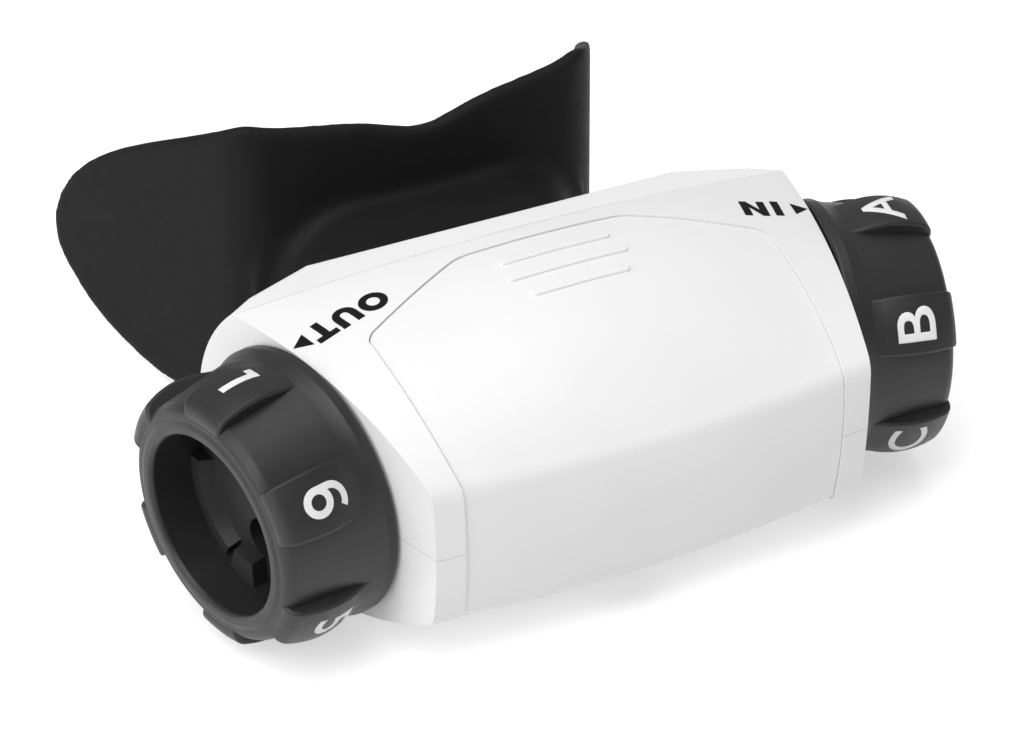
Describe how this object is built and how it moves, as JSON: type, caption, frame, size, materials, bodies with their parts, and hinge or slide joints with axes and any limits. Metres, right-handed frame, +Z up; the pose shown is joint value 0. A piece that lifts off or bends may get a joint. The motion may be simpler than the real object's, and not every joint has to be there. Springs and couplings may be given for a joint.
{
  "type": "breathing trainer",
  "caption": "Handheld breathing trainer: white crowned housing with clip-on electronics, tilted black in and out dials, and a soft black lip-flange mouthpiece.",
  "frame": {"origin": "on the flat underside, below the point midway between the two dial rims", "axes": "+X towards the inhale dial, -Y the front face, +Y towards the mouth, +Z up from the flat underside"},
  "size_m": [0.0986, 0.0888, 0.041],
  "materials": {
    "white_shell": "satin",
    "dial_black": "satin",
    "inner_black": "fine matte",
    "silicone_black": "matte",
    "duct_grey": "satin",
    "seal_silicone": "matte",
    "steel": "plain",
    "board_green": "satin",
    "cell_wrap": "satin",
    "chip_black": "matte",
    "clear_pipe": "clear"
  },
  "bodies": {
    "housing": {"upper_housing": "white_shell", "lower_housing": "white_shell", "shell_screws": "steel", "airway_duct": "duct_grey", "sensor_seal": "seal_silicone", "in_port_barrel": "inner_black", "in_port_plate": "inner_black", "in_seal_ring": "seal_silicone", "in_detent_spring": "steel", "in_valve_seat": "duct_grey", "out_port_barrel": "inner_black", "out_port_plate": "inner_black", "out_seal_ring": "seal_silicone", "out_detent_spring": "steel", "out_valve_seat": "duct_grey"},
    "in_dial": {"in_dial": "dial_black", "in_orifice_disc": "inner_black", "in_retaining_ring": "steel"},
    "out_dial": {"out_dial": "dial_black", "out_orifice_disc": "inner_black", "out_retaining_ring": "steel"},
    "in_flap": {"in_valve_flap": "seal_silicone"},
    "out_flap": {"out_valve_flap": "seal_silicone"},
    "e_unit": {"e_unit_cover": "white_shell", "e_unit_base": "white_shell", "circuit_board": "board_green", "battery": "cell_wrap", "pressure_sensor": "chip_black", "button_switch": "chip_black", "charging_socket": "steel", "light_pipe": "clear_pipe", "unit_screws": "steel"},
    "power_button": {"power_button": "inner_black"},
    "mouthpiece": {"mouthpiece": "silicone_black"}
  },
  "joints": [
    {"name": "in_dial_turn", "type": "hinge", "parent": "housing", "child": "in_dial", "pos_m": [0.0339, 0, 0.0173], "axis": [0.9668, -0.2554, 0], "continuous": true},
    {"name": "out_dial_turn", "type": "hinge", "parent": "housing", "child": "out_dial", "pos_m": [-0.0339, 0, 0.0173], "axis": [-0.9668, -0.2554, 0], "continuous": true},
    {"name": "in_flap_open", "type": "hinge", "parent": "housing", "child": "in_flap", "pos_m": [0.0252, 0.0023, 0.0242], "axis": [0.2554, 0.9668, 0], "range_deg": [0, 28], "stiffness_Nm_per_rad": 0.0001, "springref_deg": -11.46},
    {"name": "out_flap_open", "type": "hinge", "parent": "housing", "child": "out_flap", "pos_m": [-0.02733, 0.00174, 0.0242], "axis": [-0.2554, 0.9668, 0], "range_deg": [0, 28], "stiffness_Nm_per_rad": 0.0001, "springref_deg": -11.46},
    {"name": "e_unit_off", "type": "slide", "parent": "housing", "child": "e_unit", "axis": [0, -1, 0], "range_m": [0, 0.03]},
    {"name": "power_button_press", "type": "slide", "parent": "e_unit", "child": "power_button", "axis": [0, 0, 1], "range_m": [0, 0.0006], "stiffness_N_per_m": 300, "springref_m": -0.0005},
    {"name": "mouthpiece_off", "type": "slide", "parent": "housing", "child": "mouthpiece", "axis": [0, 1, 0], "range_m": [0, 0.03]}
  ]
}
